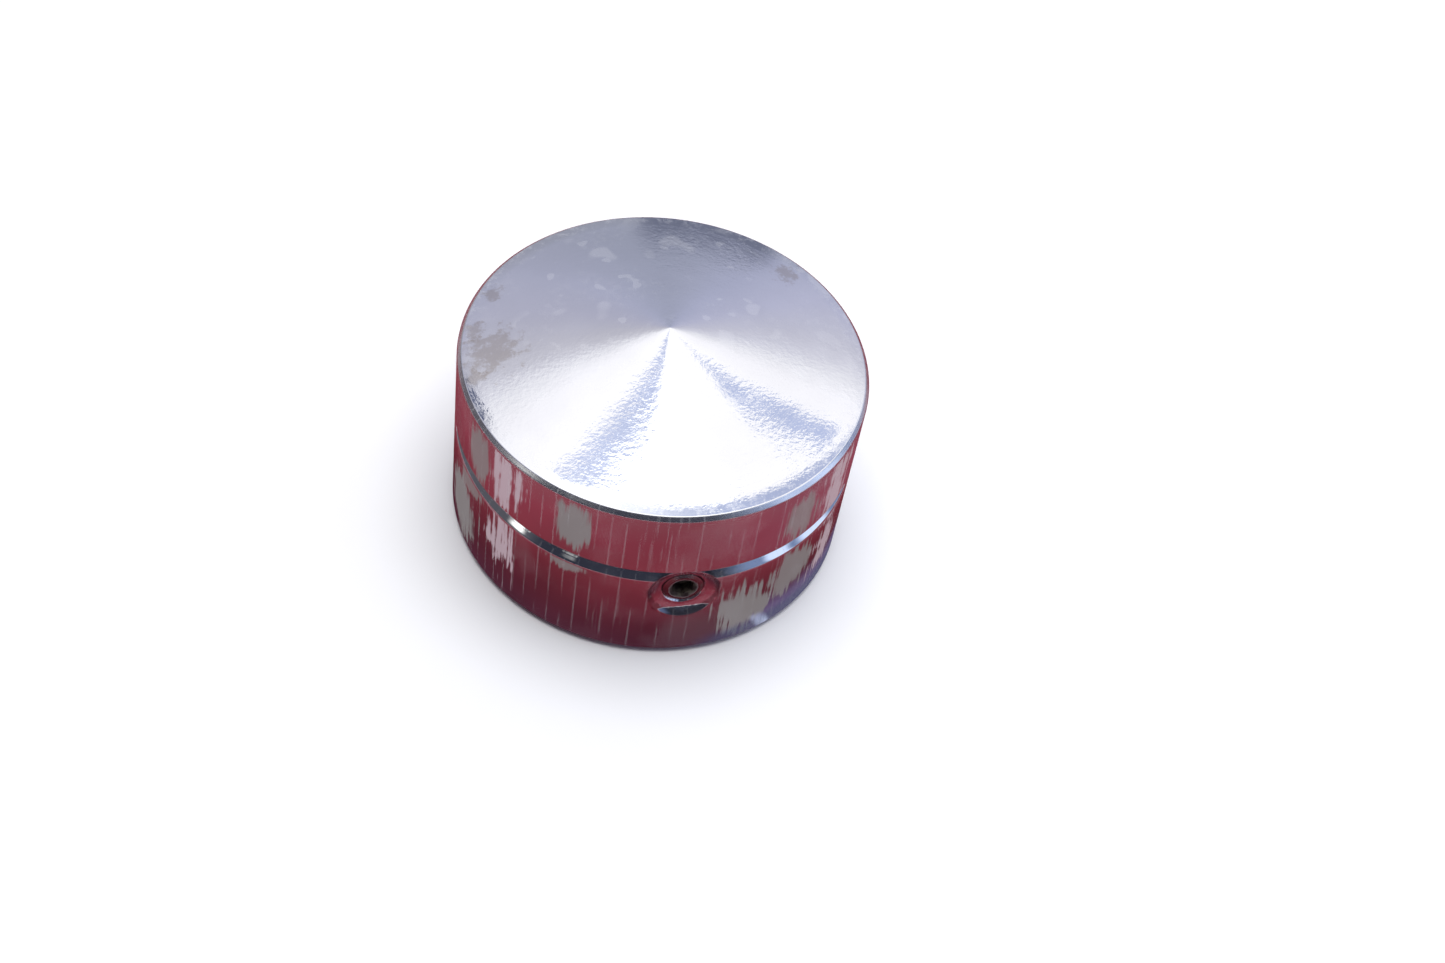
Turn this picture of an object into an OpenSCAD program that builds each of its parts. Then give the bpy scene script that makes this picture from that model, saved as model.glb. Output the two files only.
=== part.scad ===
// Closed bobbin case of a heavy stitcher: a turned cup and a conical cap locked by a set screw,
// with the bobbin, its bush and post, the anti-spin spring and the flush tension leaf.
// Millimetres, +Z up. Z = 0 is the face the case stands on, the axis is Z, the lock screw faces -Y.

/* [Case] */
// outer radius of the case
case_r = 20; // [15:0.5:30]
// height of the side, from the standing face to the rim's corner
side_h = 20.4; // [15:0.1:30]
// height of the cone's tip above the rim's corner
cone_h = 4.74; // [1:0.02:8]
// chamfer around the rim
rim_chamfer = 0.6; // [0.2:0.05:2]
// chamfer around the standing face
base_chamfer = 0.8; // [0.2:0.05:2]
// height of the parting groove's centre
groove_z = 12.25; // [8:0.05:16]
// half the groove's opening, which is also its depth
groove_half = 0.73; // [0.3:0.01:1.5]
// bore of the cup that takes the cap's spigot
spigot_bore_r = 16; // [14:0.1:17]
// bore of the cup below the spigot
cup_bore_r = 14.8; // [13:0.1:15.5]
// bore of the cap
cap_bore_r = 14.5; // [13:0.1:15]
// height of the shoulder in the cup
shoulder_z = 7.5; // [5:0.1:10]
// thickness of the cup's floor
floor_t = 3; // [2:0.1:5]
// depth of the relief in the standing face
base_relief = 0.5; // [0.2:0.1:1]

/* [Lock screw] */
// height of the lock screw's axis
lock_z = 9.6; // [8:0.05:11]
// radius of the dished recess at the surface
dish_r = 3.4; // [2.5:0.05:4.5]
// depth of the dished recess
dish_d = 0.7; // [0.5:0.05:1.5]
// radius of the lock screw (M4)
lock_r = 1.95; // [1.4:0.05:2.5]
// width across flats of its hex socket
lock_key = 2; // [1.3:0.1:2.5]

/* [Post and bobbin] */
// radius of the centre post
post_r = 4.5; // [3:0.1:6]
// bore of the bronze sleeve, which takes the hook's stud
stud_r = 2.5; // [1.5:0.1:3]
// depth of the stud's bore
stud_depth = 12; // [6:0.5:14]
// radius of the bobbin's flanges
bobbin_r = 14; // [12:0.1:14.3]
// width of the bobbin over its flanges
bobbin_w = 13; // [10:0.1:14]
// thickness of each flange
flange_t = 0.8; // [0.5:0.1:1.5]
// radius of the wound thread
wound_r = 12.6; // [8:0.1:13.5]

/* [Tension leaf] */
// height of the leaf's centre line
leaf_z = 6; // [5:0.1:8]
// half the leaf's width
leaf_half = 1.9; // [1:0.1:2.5]
// thickness of the leaf
leaf_t = 0.5; // [0.3:0.05:0.8]
// direction of the leaf's free end
leaf_free = 32; // [20:1:60]
// direction of the tension screw
leaf_press = 75; // [60:1:90]
// direction of the screw that holds the leaf
leaf_fixed = 118; // [100:1:140]
// direction of the thread eyelet
eyelet_az = 97; // [85:1:110]

/* [Hidden] */
fn = 96;
fit = 0.05;
spigot_r = spigot_bore_r - fit;
spigot_z = shoulder_z + 0.1;
leaf_bed = 18;                        // radius of the leaf pocket's floor
leaf_in = leaf_bed + 0.1;
leaf_out = leaf_in + leaf_t;
head_seat = leaf_out + 0.04;          // where the screw heads' flat undersides lie
pocket_half = leaf_half + 0.3;
lock_bore_r = lock_r + fit;
tip_r = 1.3;
tip_len = 0.7;
tip_in = spigot_bore_r + 0.03;        // the tip's end stands just clear of the spigot
washer_t = 0.5;                       // thrust washer
bush_flange_t = 0.6;
bush_in = post_r + fit;
bush_out = bush_in + 0.85;
bobbin_z = floor_t + washer_t + bush_flange_t + 0.05;
bobbin_top = bobbin_z + bobbin_w;
hub_in = bush_out + fit;
hub_out = hub_in + 1.35;
post_top = bobbin_top + 0.6;
spring_z = 19.2;                      // underside of the boss that carries the spring
spring_t = 0.3;
dowel_at = 17.6;
dowel_r = 0.8;
stop_pin_r = 1.5;

// Places a child so that its +Z points outwards from the case's axis, in direction az at height z.
module radial(az, z) {
    translate([0, 0, z]) rotate([0, 0, az]) rotate([0, 90, 0]) children();
}

// A solid of revolution about Z from a list of [radius, z] points.
module turned(points, angle = 360) {
    rotate_extrude(angle = angle, $fn = fn) polygon(points);
}

// A tube or disc between two heights.
module ring(r_in, r_out, z0, z1) {
    turned([[r_in, z0], [r_out, z0], [r_out, z1], [r_in, z1]]);
}

// Part of a cylindrical shell between two directions, with round ends about the leaf's line.
module arc_shell(r_in, r_out, half, az0, az1) {
    intersection() {
        ring(r_in, r_out, leaf_z - half - 1, leaf_z + half + 1);
        union() {
            rotate([0, 0, az0]) turned([[r_in - 2, leaf_z - half], [r_out + 2, leaf_z - half],
                [r_out + 2, leaf_z + half], [r_in - 2, leaf_z + half]], az1 - az0);
            for (az = [az0, az1]) radial(az, leaf_z) translate([0, 0, r_in - 1])
                cylinder(r = half - 0.12, h = r_out - r_in + 2, $fn = fn);
        }
    }
}

module case_cup() color([0.75, 0.76, 0.79]) difference() {
    turned([[post_r, floor_t], [post_r, 1.5], [6.5, 1.5], [6.5, base_relief],
        [12, base_relief], [12.3, 0], [case_r - base_chamfer, 0], [case_r, base_chamfer],
        [case_r, groove_z - groove_half], [case_r - groove_half, groove_z],
        [spigot_bore_r + 0.3, groove_z], [spigot_bore_r, groove_z - 0.3],
        [spigot_bore_r, shoulder_z], [cup_bore_r, shoulder_z], [cup_bore_r, floor_t]]);
    // dished recess and thread of the lock screw
    radial(-90, lock_z) turned([[0, case_r - dish_d], [lock_bore_r, case_r - dish_d],
        [dish_r - 0.65, case_r - dish_d + 0.12], [dish_r - 0.25, case_r - 0.3], [dish_r, case_r],
        [dish_r, case_r + 1], [0, case_r + 1]]);
    radial(-90, lock_z) translate([0, 0, 14]) cylinder(r = lock_bore_r, h = 6, $fn = fn);
    // leaf pocket, its two screw threads and the eyelet's hole
    arc_shell(leaf_bed, case_r + 1, pocket_half, leaf_free - 2, leaf_fixed + 4);
    radial(leaf_fixed, leaf_z) translate([0, 0, 16]) cylinder(r = 1.2, h = 4, $fn = 48);
    radial(leaf_press, leaf_z) translate([0, 0, 15.9]) cylinder(r = 1.25, h = 4, $fn = 48);
    radial(eyelet_az, leaf_z) translate([0, 0, 14]) cylinder(r = 1.2, h = 5, $fn = 48);
    // register dowels and the hook's stop pin
    for (s = [-1, 1]) translate([s * dowel_at, 0, groove_z - 4])
        cylinder(r = dowel_r, h = 5, $fn = 48);
    translate([0, 10, -1]) cylinder(r = stop_pin_r, h = 3.5, $fn = 48);
}

module case_cap() color([0.78, 0.79, 0.82]) difference() {
    turned([[cap_bore_r, spigot_z], [spigot_r - 0.3, spigot_z], [spigot_r, spigot_z + 0.3],
        [spigot_r, groove_z], [case_r - groove_half, groove_z],
        [case_r, groove_z + groove_half], [case_r, side_h],
        [case_r - rim_chamfer, side_h + rim_chamfer], [0, side_h + cone_h], [0, 21.6],
        [1.2, 21.6], [1.2, spring_z], [4.3, spring_z], [4.3, 21.3], [cap_bore_r, 19.4]]);
    for (s = [-1, 1]) translate([s * dowel_at, 0, groove_z - 1])
        cylinder(r = dowel_r + fit, h = 3.3, $fn = 48);
}

module lock_screw() color([0.32, 0.32, 0.34]) radial(-90, lock_z) difference() {
    turned([[0, tip_in + tip_len], [lock_r - 0.2, tip_in + tip_len],
        [lock_r, tip_in + tip_len + 0.2], [lock_r, case_r - dish_d - 0.15],
        [lock_r - 0.3, case_r - dish_d + 0.02], [0, case_r - dish_d + 0.02]]);
    translate([0, 0, case_r - dish_d - 1.3]) cylinder(r = lock_key / sqrt(3), h = 3, $fn = 6);
    translate([0, 0, case_r - dish_d - 0.25])
        cylinder(r1 = lock_key / sqrt(3) - 0.12, r2 = lock_key / sqrt(3) + 0.18, h = 0.3, $fn = 48);
}

module lock_screw_tip() color([0.8, 0.62, 0.3]) radial(-90, lock_z)
    turned([[0, tip_in], [tip_r - 0.2, tip_in], [tip_r, tip_in + 0.2],
        [tip_r, tip_in + tip_len], [0, tip_in + tip_len]]);

module centre_post() color([0.62, 0.63, 0.66]) difference() {
    turned([[0, base_relief], [6.5, base_relief], [6.5, 1.5], [post_r, 1.5],
        [post_r, post_top - 0.6], [post_r - 0.6, post_top], [0, post_top]]);
    translate([0, 0, -1]) cylinder(r = stud_r + 0.5, h = 1.5 + stud_depth + 1, $fn = fn);
}

module stud_sleeve() color([0.7, 0.5, 0.28])
    ring(stud_r, stud_r + 0.5, base_relief, base_relief + stud_depth);

module thrust_washer() color([0.5, 0.5, 0.53])
    ring(post_r + 0.05, 8.5, floor_t, floor_t + washer_t);

module bobbin_bush() color([0.72, 0.52, 0.3]) {
    z0 = floor_t + washer_t;
    turned([[bush_in, z0], [8, z0], [8, z0 + bush_flange_t], [bush_out, z0 + bush_flange_t],
        [bush_out, bobbin_top - 0.15], [bush_in, bobbin_top - 0.15]]);
}

module bobbin_hub() color([0.7, 0.71, 0.73]) difference() {
    ring(hub_in, hub_out, bobbin_z, bobbin_top);
    // the hole that the thread's inner end goes through
    radial(30, bobbin_z + 3) cylinder(r = 0.7, h = 12, $fn = 32);
}

// A flange with its rolled edge outwards and round sight holes.
module bobbin_flange(z) difference() {
    turned([[hub_out, z], [bobbin_r - 0.25, z], [bobbin_r, z + 0.25],
        [bobbin_r, z + flange_t - 0.25], [bobbin_r - 0.25, z + flange_t], [hub_out, z + flange_t]]);
    for (i = [0:3]) rotate([0, 0, 45 + 90 * i]) translate([10.2, 0, z - 1])
        cylinder(r = 1.3, h = flange_t + 2, $fn = 48);
}

module bobbin_flange_lower() color([0.72, 0.73, 0.75]) bobbin_flange(bobbin_z);

module bobbin_flange_upper() color([0.72, 0.73, 0.75]) bobbin_flange(bobbin_top - flange_t);

module bobbin_thread() color([0.86, 0.83, 0.76])
    ring(hub_out, wound_r, bobbin_z + flange_t, bobbin_top - flange_t);

module anti_spin_spring() color([0.55, 0.57, 0.6]) {
    ring(1.2, 4, spring_z - spring_t, spring_z);
    // three fingers that slope down to the bobbin and turn up at their tips
    for (i = [0:2]) rotate([0, 0, 72 + 120 * i])
        turned([[3.9, spring_z - spring_t], [10.4, bobbin_top + 0.25], [11.2, bobbin_top + 0.5],
            [11.2, bobbin_top + 0.8], [10.4, bobbin_top + 0.55], [4, spring_z], [3.9, spring_z]], 36);
}

module spring_rivet() color([0.6, 0.61, 0.64])
    turned([[0, spring_z - 0.8], [1.7, spring_z - 0.8], [2.2, spring_z - 0.5],
        [2.2, spring_z - spring_t], [1.2, spring_z - spring_t], [1.2, 21.5], [0, 21.5]]);

module tension_leaf() color([0.6, 0.63, 0.68]) difference() {
    arc_shell(leaf_in, leaf_out, leaf_half, leaf_free, leaf_fixed + 2);
    radial(leaf_fixed, leaf_z) translate([0, 0, 15]) cylinder(r = 1.3, h = 5, $fn = 48);
    radial(leaf_press, leaf_z) translate([0, 0, 15]) cylinder(r = 1.45, h = 5, $fn = 48);
    // threading window over the eyelet
    radial(eyelet_az, leaf_z) translate([0, 0, 15]) cylinder(r = 1.1, h = 5, $fn = 48);
}

// A slotted screw with a flat head; the shank runs inwards to shank_in.
module slotted(shank_r, shank_in, seat, head_r, head_h) difference() {
    turned([[0, shank_in], [shank_r - 0.2, shank_in], [shank_r, shank_in + 0.2], [shank_r, seat],
        [head_r, seat], [head_r, seat + head_h - 0.2], [head_r - 0.2, seat + head_h],
        [0, seat + head_h]]);
    translate([-0.25, -head_r - 1, seat + head_h - 0.45]) cube([0.5, 2 * head_r + 2, 1]);
}

module leaf_screw() color([0.5, 0.5, 0.53])
    radial(leaf_fixed, leaf_z) slotted(1.2, 16.1, head_seat, 1.8, 0.9);

module tension_washer() color([0.75, 0.6, 0.35]) radial(leaf_press, leaf_z)
    ring(1.25, 1.8, head_seat, head_seat + 0.2);

module tension_screw() color([0.5, 0.5, 0.53])
    radial(leaf_press, leaf_z) slotted(1.2, 16.1, head_seat + 0.2, 1.75, 0.7);

module thread_eyelet() color([0.9, 0.88, 0.84]) radial(eyelet_az, leaf_z)
    turned([[0.7, 15.1], [0.85, 14.9], [1.2, 14.9], [1.2, 17.6], [0.85, 17.6], [0.7, 17.4]]);

module register_dowel(x) translate([x, 0, groove_z - 4])
    turned([[0, 0], [dowel_r, 0], [dowel_r, 5.8], [dowel_r - 0.3, 6.1], [0, 6.1]]);

module register_dowel_left() color([0.5, 0.5, 0.52]) register_dowel(-dowel_at);

module register_dowel_right() color([0.5, 0.5, 0.52]) register_dowel(dowel_at);

case_cup();
case_cap();
lock_screw();
lock_screw_tip();
centre_post();
stud_sleeve();
thrust_washer();
bobbin_bush();
bobbin_hub();
bobbin_flange_lower();
bobbin_flange_upper();
bobbin_thread();
anti_spin_spring();
spring_rivet();
tension_leaf();
leaf_screw();
tension_washer();
tension_screw();
thread_eyelet();
register_dowel_left();
register_dowel_right();
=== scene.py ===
"""Looks of the closed bobbin case: polished halves with softened edges, thread, metals and studio."""

import math

import bpy
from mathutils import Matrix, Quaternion, Vector, noise


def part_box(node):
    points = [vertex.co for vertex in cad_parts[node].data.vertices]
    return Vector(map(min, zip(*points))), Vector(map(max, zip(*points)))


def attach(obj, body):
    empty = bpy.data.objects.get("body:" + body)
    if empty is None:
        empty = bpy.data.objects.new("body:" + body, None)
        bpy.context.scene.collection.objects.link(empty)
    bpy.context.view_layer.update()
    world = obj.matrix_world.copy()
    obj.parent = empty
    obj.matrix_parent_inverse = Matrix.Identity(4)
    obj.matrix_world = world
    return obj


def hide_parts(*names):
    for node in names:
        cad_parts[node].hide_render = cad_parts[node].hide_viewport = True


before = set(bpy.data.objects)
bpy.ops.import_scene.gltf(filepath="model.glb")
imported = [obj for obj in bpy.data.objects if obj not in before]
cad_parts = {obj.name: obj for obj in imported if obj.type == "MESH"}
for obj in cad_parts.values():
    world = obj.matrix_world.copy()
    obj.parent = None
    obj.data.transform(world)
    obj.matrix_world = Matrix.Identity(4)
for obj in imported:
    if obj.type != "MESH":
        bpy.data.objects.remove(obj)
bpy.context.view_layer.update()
MM = 0.001

# ---------------------------------------------------------------- sizes, in mm, from the frame
CUP_LO, CUP_HI = (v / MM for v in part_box("case_cup"))
CAP_LO, CAP_HI = (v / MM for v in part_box("case_cap"))
LEAF_LO, LEAF_HI = (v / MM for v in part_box("tension_leaf"))
THREAD_LO, THREAD_HI = (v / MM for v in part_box("bobbin_thread"))
HUB_LO, HUB_HI = (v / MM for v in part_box("bobbin_hub"))
CASE_R = CUP_HI.x
GROOVE_Z = CUP_HI.z
APEX_Z = CAP_HI.z
SPIGOT_Z = CAP_LO.z
LEAF_Z = (LEAF_LO.z + LEAF_HI.z) / 2

# ---------------------------------------------------------------- sizes, in mm, as in the CAD
GROOVE_HALF = 0.73
BASE_CHAMFER = 0.8
RIM_CHAMFER = 0.6
CAP_FACE_H = 4.74  # from the rim's outer corner up to the apex
RIM_Z = APEX_Z - CAP_FACE_H
FLOOR_Z = 3.0
POST_SEAT_R, POST_SEAT_Z = 6.5, 1.5  # the post's foot, let into the floor from below
BASE_RELIEF = 0.5
RELIEF_R, RELIEF_FLARE = 12.0, 0.3
SPIGOT_BORE_R = 16.0
SPIGOT_R = SPIGOT_BORE_R - 0.05
LEAD_IN = 0.3  # chamfer of the spigot and of its bore
CUP_BORE_R = 14.8
CAP_BORE_R = 14.5
SHOULDER_Z = 7.5
POST_R = 4.5
LOCK_Z = 9.6
LOCK_R = 2.0
DISH_R = 3.4
DISH_D = 0.7
POCKET_HALF = (LEAF_HI.z - LEAF_LO.z) / 2 + 0.3
POCKET_D = 2.0
POCKET_FROM, POCKET_TO = math.radians(30), math.radians(122)
EYELET_AZ = math.radians(97)
EYELET_HOLE_R = 1.25
CEILING_Z = 19.4  # the cap's ceiling at its bore
BOSS_R, BOSS_ROOT_Z, BOSS_FACE_Z = 4.3, 21.3, 19.2  # the boss under the cap that carries the spring
RIVET_HOLE_R, RIVET_HOLE_Z = 1.2, 21.6
THREAD_PITCH = 0.34

# ---------------------------------------------------------------- softer shapes of the visual model, in mm
WORN_RIM = 0.4  # width of the rim's bevel as it is left by polishing
LIP_SOFT = 0.13  # half the rounding of the groove's lips
DISH_OVER = 0.1  # the dish's lip is this much wider than in the CAD
DISH_RUN = 1.05  # the lip falls over this width
DISH_SHALLOWER = 0.02  # the lip ends this much above the CAD's dish floor
DISH_CURVE = 1.6  # how round the lip is
BOWL_INSET = 0.65  # the lip ends and the bowl starts this far inside the dish's edge
BOWL_D = 0.08
BORE_OVER = 0.14  # the bore is this much wider than in the CAD
BORE_D = 3.22  # it ends blind, just outside the cup's own bore
SHARP = 0.1  # width over which a step in a height field rises
POCKET_SOFT = 0.25  # width over which the pocket's wall falls
EYELET_HOLE_D = 0.3
RECESS_NEAR = 0.5  # the recess's depth is worked out this far round it
FINE = 0.08  # step of the cup's grid where it has detail
PLAIN = 0.7  # and where it has none

# ---------------------------------------------------------------- the camera's place, as in the photograph
VIEW_AZ = math.radians(-14.5)
VIEW_EL = math.radians(46.63)
VIEW_ROLL = math.radians(8.4)
VIEW_DISTANCE = 9.67 * CASE_R
VIEW_LENS = 49.83
RIM_OFF_AXIS = Vector((-0.0284, 0.0621, -1))  # where the rim's centre stands in the view

# ---------------------------------------------------------------- marks and colours
# brownish tarnish on the cap's face: (bearing in degrees, distance from the axis, half-width)
TARNISH = [
    (176.0, 16.6, 2.4),
    (186.0, 18.7, 0.9),
    (167.0, 18.5, 1.0),
    (37.0, 17.2, 1.3),
    (150.0, 18.2, 0.9),
]
# grey things on the red cloth, by the place on the wall that mirrors them, the camera being at -90 degrees:
# (angle, height, half-width in degrees, half-height, strength)
GREY_PATCHES = [
    (-143.0, 17.0, 5.5, 3.4, 0.8),
    (-108.0, 17.0, 4.6, 3.0, 0.95),
    (-146.5, 10.6, 7.0, 1.3, 0.7),
    (-154.0, 5.4, 10.0, 3.6, 0.95),
    (-110.0, 11.2, 5.5, 0.9, 0.8),
    (-42.0, 16.2, 6.5, 3.0, 0.75),
    (-57.5, 5.0, 7.0, 3.8, 0.95),
    (-41.0, 8.0, 7.5, 3.0, 0.85),
]
# paler, finely torn things, as above
PALE_PATCHES = [
    (-131.0, 17.2, 4.0, 3.6, 0.9),
    (-131.0, 8.2, 4.2, 4.0, 0.9),
    (-26.0, 15.0, 4.5, 5.0, 0.8),
    (-25.0, 7.5, 4.0, 3.0, 0.8),
]

CAP_PLATING = (0.84, 0.845, 0.86)
CUP_PLATING = (0.83, 0.835, 0.85)
TARNISH_BROWN = (0.50, 0.43, 0.36)
# painted shade: the colour that the front of the dish's edge is darkened to
RECESS_EDGE_SHADE = (0.22, 0.19, 0.22)
# the third of these films is the fine lines up the wall, a painted reflection of the cloth's weave
SPOT_FILM, HAZE_FILM, WEAVE_LINE_FILM, WAVE_FILM = 0.10, 0.11, 0.15, 0.05  # how matt each film is, of 1
BUMP = 0.02 * MM
STEEL = (0.60, 0.61, 0.64)
BRIGHT = (0.72, 0.73, 0.75)
DULL = (0.46, 0.46, 0.49)
BRONZE = (0.62, 0.42, 0.22)
BRASS = (0.78, 0.60, 0.30)
SCREW_FACE = (0.30, 0.27, 0.27), (0.42, 0.39, 0.39)
# painted shade inside the set screw's socket
SCREW_SOCKET_SHADE = (0.035, 0.022, 0.022), (0.10, 0.085, 0.065)
THREAD_SHADES = (0.80, 0.75, 0.64), (0.92, 0.89, 0.81)
# painted shade in the valleys between the thread's plies
THREAD_VALLEY_SHADE = (0.48, 0.43, 0.34)
CERAMIC_SHADES = (0.88, 0.86, 0.81), (0.74, 0.71, 0.65)
FLOOR_SHADES = (0.90, 0.90, 0.90), (0.93, 0.93, 0.93)
BACKDROP = (0.84, 0.85, 0.88)  # the plain pale backdrop behind the floor's far edge
# the ceiling's glow, by height above the horizon as a share of SKY_SPAN degrees
SKY = [
    (0.0, (0.30, 0.30, 0.33)),
    (0.30, (0.34, 0.36, 0.46)),
    (0.40, (0.44, 0.46, 0.62)),
    (0.50, (0.51, 0.52, 0.68)),
    (0.617, (0.61, 0.61, 0.72)),
    (0.68, (0.72, 0.72, 0.82)),
    (0.75, (0.92, 0.92, 0.98)),
    (0.825, (1.08, 1.07, 1.12)),
    (1.0, (1.18, 1.17, 1.2)),
]
SKY_SPAN = 60.0
LEFT_DUSK = (0.36, 0.34, 0.34)
BACK_CARD = (0.15, 0.165, 0.24)
WINDOW = (1.6, 1.6, 1.62)
BAR_BLUE = (0.38, 0.47, 0.78)
GAP_BLUE = (0.40, 0.47, 0.72)
FAR_LEFT = (0.11, 0.13, 0.22)
CAMERA_SIDE = (0.033, 0.036, 0.054)
RIGHT_CARD = (0.20, 0.27, 0.46)
PANES = (0.85, 1.0, 1.35)
LEFT_CARD = (0.10, 0.10, 0.12)
LAMP = (1.7, 1.7, 1.65)
# where the studio's things stand: bands of (middle, half-width, soft edge). side is in degrees to the right
# of straight behind the case, up in degrees above the horizon, x and y are places on a ceiling of height 1
BACK_CARD_SIDE = (2.5, 5.5, 3.5)
LEFT_BAR_Y, LEFT_BAR_X = (0.350, 0.018, 0.022), (-0.125, 0.09, 0.04)
RIGHT_BAR_Y, RIGHT_BAR_X = (0.214, 0.024, 0.026), (0.43, 0.075, 0.06)
GAP_Y = (0.155, 0.055, 0.035)
FAR_LEFT_X, FAR_LEFT_Y = (-0.57, 0.06, 0.05), (0.150, 0.055, 0.03)
RIGHT_CARD_SIDE, LEFT_CARD_SIDE = (92.0, 28.0, 18.0), (-92.0, 26.0, 16.0)
NEAR_PANE_SIDE, FAR_PANE_SIDE = (108.0, 3.5, 5.0), (87.0, 5.0, 7.0)
LAMP_SIDE, LAMP_UP = (-117.0, 2.0, 4.0), (28.0, 3.0, 5.0)
SLIT_SIDE, SLIT_UP = (-146.0, 1.5, 3.0), (35.0, 2.0, 4.0)
# the cloth's red, by the height on the wall that mirrors it, as a share of REDS_SPAN mm; darker low down, a
# painted shadow of the case on the cloth
SHADED_REDS = [
    (0.0, (0.085, 0.024, 0.044)),
    (0.22, (0.105, 0.020, 0.034)),
    (0.50, (0.185, 0.029, 0.044)),
    (0.62, (0.235, 0.040, 0.058)),
    (0.85, (0.275, 0.047, 0.072)),
    (1.0, (0.285, 0.068, 0.092)),
]
REDS_SPAN = 20.0
FAR_FLOOR = (0.62, 0.60, 0.62)
RIGHT_PINK = (0.30, 0.09, 0.14)
# painted light and shade on the cloth at the case's foot: a bluish lit violet and a dark navy band
FOOT_BLUE_LIGHT = (0.15, 0.12, 0.25)
FOOT_BLUE_SHADE = (0.09, 0.095, 0.17)
FOOT_GLINT = (0.55, 0.62, 0.85)
GREY_THING = (0.245, 0.222, 0.225)
PALE_THING = (0.52, 0.40, 0.45)
WALL_U_SPAN, WALL_V_SPAN = 200.0, 25.0  # degrees and mm of wall in one unit of the laid cloth's map
CLOTH_LIFT = 0.04  # how high the reflected cloth lies above the floor, in mm


# ================================================================ meshes
def mesh_object(name, verts, faces):
    mesh = bpy.data.meshes.new(name)
    mesh.from_pydata([Vector(v) * MM for v in verts], [], faces)
    mesh.validate()
    for p in mesh.polygons:
        p.use_smooth = True
    mesh.update()
    obj = bpy.data.objects.new(name, mesh)
    bpy.context.scene.collection.objects.link(obj)
    return obj


def spaced(a, b, step):
    """Evenly spaced values from a up to b, without b."""
    n = max(1, round(abs(b - a) / step))
    return [a + (b - a) * i / n for i in range(n)]


def grid_faces(tall, wide):
    """Faces of a grid of rows whose ends join and whose last row joins the first."""
    faces = []
    for j in range(tall):
        row, above = j * wide, (j + 1) % tall * wide
        for k in range(wide):
            m = (k + 1) % wide
            faces.append((row + k, row + m, above + m, above + k))
    return faces


def softened(corners, closed=True):
    """An outline of ((r, z), radius) corners, each rounded to its radius, with rows beside each corner."""
    arc_steps, support, longest = 5, 0.06, 1.2
    most = 0.45  # share of a side that a rounding may take
    points = [Vector(point) for point, _ in corners]
    n = len(points)
    arcs = []
    for i, (_, radius) in enumerate(corners):
        p = points[i]
        if not radius:
            arcs.append([p])
            continue
        a, b = points[i - 1] - p, points[(i + 1) % n] - p
        turn = a.angle(b)
        cut = min(radius / math.tan(turn / 2), most * a.length, most * b.length)
        r = cut * math.tan(turn / 2)
        a.normalize()
        b.normalize()
        centre = p + (a + b).normalized() * (r / math.sin(turn / 2))
        start, stop = p + a * cut - centre, p + b * cut - centre
        w = math.pi - turn
        arc = []
        for k in range(arc_steps + 1):
            t = k / arc_steps
            s0, s1 = math.sin((1 - t) * w) / math.sin(w), math.sin(t * w) / math.sin(w)
            arc.append(centre + start * s0 + stop * s1)
        arcs.append(arc)
    out = []
    for i, arc in enumerate(arcs):
        out += arc
        if i == n - 1 and not closed:
            break
        gap = arcs[(i + 1) % n][0] - arc[-1]
        if gap.length > 4 * support:
            step = gap / gap.length
            inner = spaced(support, gap.length - support, longest) + [gap.length - support]
            out += [arc[-1] + step * d for d in inner]
    return [tuple(p) for p in out]


def lathe(name, outline, segments):
    """A closed (r, z) outline turned about Z. Points with r under a thousandth are joined at the axis."""
    verts, rows, faces = [], [], []
    for r, z in outline:
        if r < 1e-3:
            rows.append([len(verts)] * segments)
            verts.append((0, 0, z))
            continue
        rows.append(list(range(len(verts), len(verts) + segments)))
        for k in range(segments):
            a = 2 * math.pi * k / segments
            verts.append((r * math.cos(a), r * math.sin(a), z))
    for i, lo in enumerate(rows):
        hi = rows[(i + 1) % len(rows)]
        if lo[0] == lo[1] and hi[0] == hi[1]:
            continue
        for k in range(segments):
            m = (k + 1) % segments
            quad = [lo[k], lo[m], hi[m], hi[k]]
            faces.append([v for j, v in enumerate(quad) if v != quad[j - 1]])
    return mesh_object(name, verts, faces)


def clamped(x):
    return min(1.0, max(0.0, x))


def smooth(x):
    """A soft step from 0 to 1."""
    x = clamped(x)
    return x * x * (3 - 2 * x)


def dish_depth(rho):
    """Depth of the recess at a distance from the lock screw's axis: rounded lip, shallow bowl, bore."""
    inward = clamped((DISH_R + DISH_OVER - rho) / DISH_RUN)
    lip = (DISH_D - DISH_SHALLOWER) * (1 - (1 - inward) ** DISH_CURVE) * smooth(inward / SHARP)
    bowl_r = DISH_R - BOWL_INSET
    bowl = BOWL_D * clamped((bowl_r - rho) / (bowl_r - LOCK_R))
    bore = BORE_D * smooth((LOCK_R + BORE_OVER - rho) / SHARP)
    return lip + bowl + bore


def pocket_depth(angle, z):
    """Depth of the leaf's pocket, a slot with round ends, and of the eyelet's hole in its floor."""
    nearest = min(max(angle, POCKET_FROM), POCKET_TO)
    inside = POCKET_HALF - math.hypot(CASE_R * (angle - nearest), z - LEAF_Z)
    from_hole = math.hypot((CASE_R - POCKET_D) * (angle - EYELET_AZ), z - LEAF_Z)
    slot = POCKET_D * smooth(inside / POCKET_SOFT)
    return slot + EYELET_HOLE_D * smooth((EYELET_HOLE_R - from_hole) / SHARP)


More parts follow.
